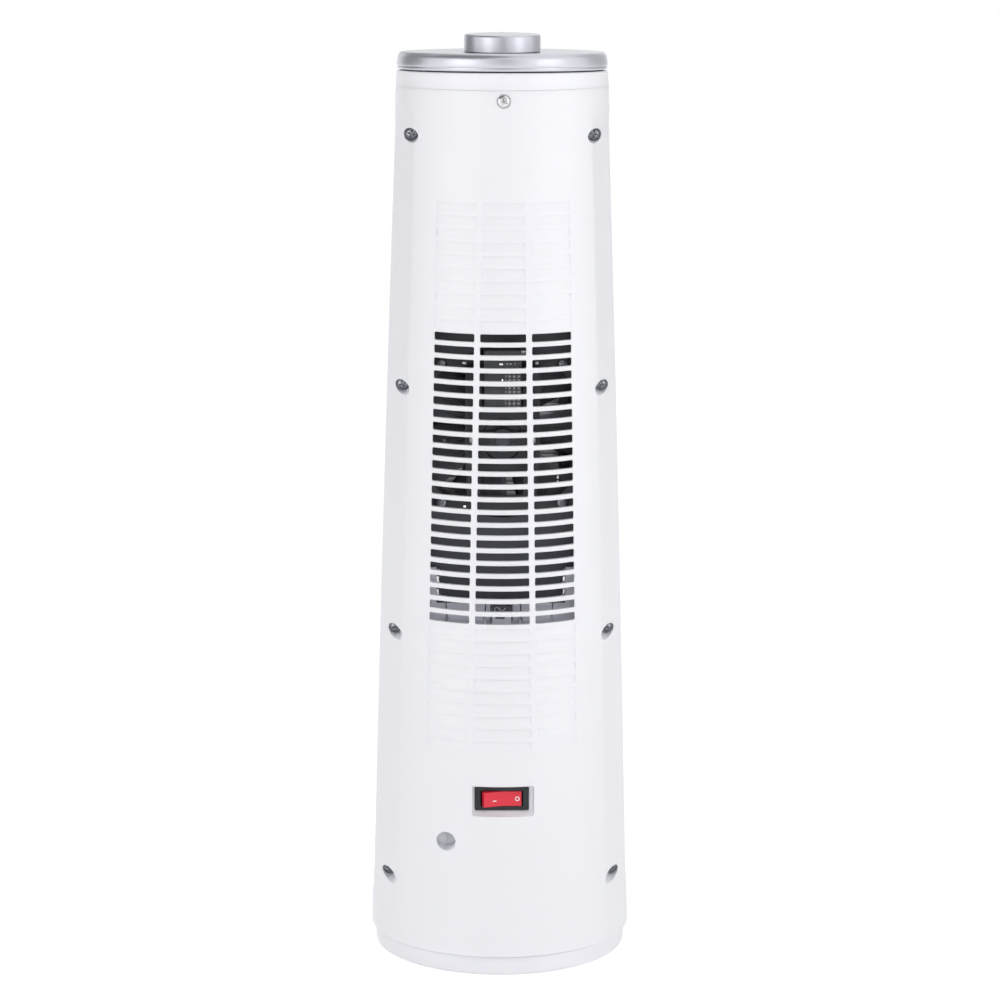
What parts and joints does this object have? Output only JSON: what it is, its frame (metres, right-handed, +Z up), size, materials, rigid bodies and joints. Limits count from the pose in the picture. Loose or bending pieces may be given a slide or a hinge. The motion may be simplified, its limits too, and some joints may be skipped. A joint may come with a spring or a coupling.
{
  "type": "ceramic tower heater",
  "caption": "Free-standing oscillating tower heater: tapered round shell with slotted rear intake, front outlet, top dial and rear rocker switch on a round base.",
  "frame": {"origin": "middle of the footprint on the surface that the heater stands on, under the axis of the round body", "axes": "+Z up along the body's axis; the rear intake grille, switch and cord outlet face +Y; the heat outlet faces -Y; the cord outlet lies on the +X side"},
  "size_m": [0.159, 0.1588, 0.5606],
  "materials": {
    "white_shell": "cool white moulded plastic with a fine satin grain",
    "silver_paint": "satin silver paint on moulded plastic",
    "charcoal_plastic": "charcoal flame-resistant plastic",
    "grey_plastic": "mid grey moulded plastic",
    "black_plastic": "black semi-gloss plastic",
    "red_plastic": "clear red gloss plastic with white marks",
    "ivory_plastic": "ivory polyamide",
    "brown_plastic": "dark brown phenolic",
    "natural_acetal": "natural acetal",
    "black_rubber": "matt black rubber",
    "zinc_steel": "zinc plated steel",
    "nickel_steel": "bright nickel plated steel",
    "lamination_steel": "stacked electrical steel",
    "black_steel": "black phosphated steel",
    "bare_aluminium": "bare aluminium",
    "winding_tape": "grey tape over an enamelled winding"
  },
  "bodies": {
    "base": {"base_plate": "white_shell", "rubber_feet": "black_rubber", "glide_ring": "natural_acetal", "retainer_ring": "zinc_steel", "retainer_screws": "zinc_steel"},
    "tower": {"bottom_plate": "grey_plastic", "plate_screws": "zinc_steel", "osc_motor": "zinc_steel", "osc_motor_screws": "zinc_steel", "tilt_switch": "charcoal_plastic", "terminal_block": "ivory_plastic", "rear_cover": "white_shell", "front_cover": "white_shell", "front_grille": "silver_paint", "side_screws": "zinc_steel", "top_screw": "nickel_steel", "collar_ring": "white_shell", "top_cap": "silver_paint", "control_bracket": "grey_plastic", "bracket_screws": "zinc_steel", "rotary_switch": "charcoal_plastic", "switch_nut": "nickel_steel", "switch_housing": "black_plastic", "deck": "grey_plastic", "limit_switch": "charcoal_plastic", "heater_frame": "charcoal_plastic", "ptc_bars": "bare_aluminium", "ptc_fins": "bare_aluminium", "thermal_cutout": "brown_plastic", "fan_shroud": "charcoal_plastic", "chassis_screws": "zinc_steel", "motor_bracket": "black_steel", "motor_bracket_screws": "zinc_steel", "motor_core": "lamination_steel", "motor_coil": "winding_tape", "rear_bearing": "black_steel", "front_bearing": "black_steel", "motor_bolts": "zinc_steel"},
    "crank": {"crank_shaft": "zinc_steel", "osc_crank": "natural_acetal"},
    "dial": {"knob_shaft": "nickel_steel", "knob": "silver_paint"},
    "rocker": {"switch_rocker": "red_plastic"},
    "fan": {"motor_rotor": "lamination_steel", "fan_shaft": "nickel_steel", "fan_wheel": "charcoal_plastic"}
  },
  "joints": [
    {"name": "oscillation", "type": "hinge", "parent": "base", "child": "tower", "pos_m": [0, 0, 0.0145], "axis": [0, 0, 1], "range_deg": [-28, 28]},
    {"name": "crank_turn", "type": "hinge", "parent": "tower", "child": "crank", "pos_m": [0, -0.036, 0.0145], "axis": [0, 0, 1], "range_deg": [-90, 90]},
    {"name": "fan_spin", "type": "hinge", "parent": "tower", "child": "fan", "pos_m": [0, 0.03, 0.324], "axis": [0, 1, 0], "continuous": true},
    {"name": "dial_turn", "type": "hinge", "parent": "tower", "child": "dial", "pos_m": [0, 0, 0.5492], "axis": [0, 0, 1], "range_deg": [-270, 0]},
    {"name": "rocker_tilt", "type": "hinge", "parent": "tower", "child": "rocker", "pos_m": [0, 0.06858, 0.1092], "axis": [0, 0, 1], "range_deg": [-18, 0]}
  ],
  "couplings": [
    {"joint": "crank_turn", "follows": "oscillation", "ratio": -3.2}
  ]
}
